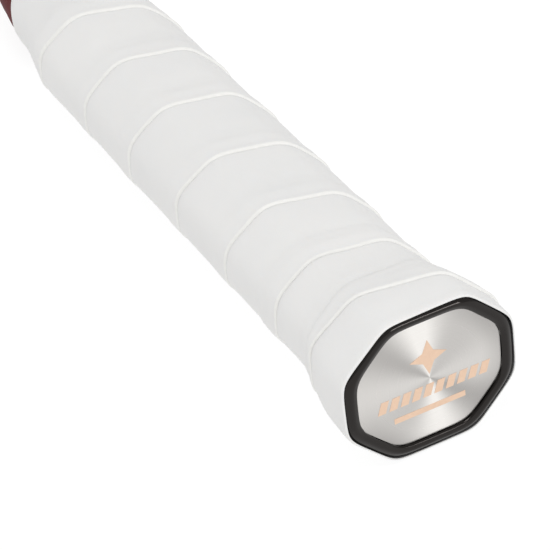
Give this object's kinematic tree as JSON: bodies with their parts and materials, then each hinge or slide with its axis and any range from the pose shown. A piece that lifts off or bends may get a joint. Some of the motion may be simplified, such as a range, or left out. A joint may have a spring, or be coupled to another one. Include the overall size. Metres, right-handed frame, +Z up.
{
  "type": "badminton racket",
  "caption": "Badminton racket with an octagonal white wrapped grip, spun metal end plate, slim shaft and strung oval head.",
  "frame": {"origin": "centre of the end plate's outer face, at the butt of the handle", "axes": "+Y along the shaft from the butt to the head; +Z up from the string bed, which lies in the XY plane; +X to the right seen from the butt"},
  "size_m": [0.203, 0.675, 0.0294],
  "materials": {
    "spun_aluminium": "circular brushed",
    "adhesive_foam": "closed-cell foam",
    "black_plastic": "moulded, glossy",
    "zinc_steel": "zinc plated",
    "handle_wood": "planed, unfinished",
    "white_polyurethane": "soft, matt, spirally wound",
    "dark_red_tape": "smooth vinyl",
    "dark_red_plastic": "moulded, glossy",
    "graphite": "clear-coated",
    "dark_red_lacquer": "clear-coated lacquer",
    "black_nylon": "moulded",
    "string_nylon": "multifilament, coated"
  },
  "bodies": {
    "root": {"end_plate": "spun_aluminium", "plate_adhesive_pad": "adhesive_foam", "butt_cap": "black_plastic", "cap_screw_left": "zinc_steel", "cap_screw_right": "zinc_steel", "handle_core": "handle_wood", "grip_tape": "white_polyurethane", "finishing_tape": "dark_red_tape", "cone": "dark_red_plastic", "shaft": "graphite", "t_joint": "dark_red_lacquer", "head_frame": "dark_red_lacquer", "grommet_strip_throat_right": "black_nylon", "grommet_strip_throat_left": "black_nylon", "grommet_strip_lower_right": "black_nylon", "grommet_strip_lower_left": "black_nylon", "grommet_strip_side_right": "black_nylon", "grommet_strip_side_left": "black_nylon", "grommet_strip_upper_right": "black_nylon", "grommet_strip_upper_left": "black_nylon", "grommet_strip_crown_right": "black_nylon", "grommet_strip_crown_left": "black_nylon", "main_string": "string_nylon", "cross_string": "string_nylon"}
  },
  "joints": []
}
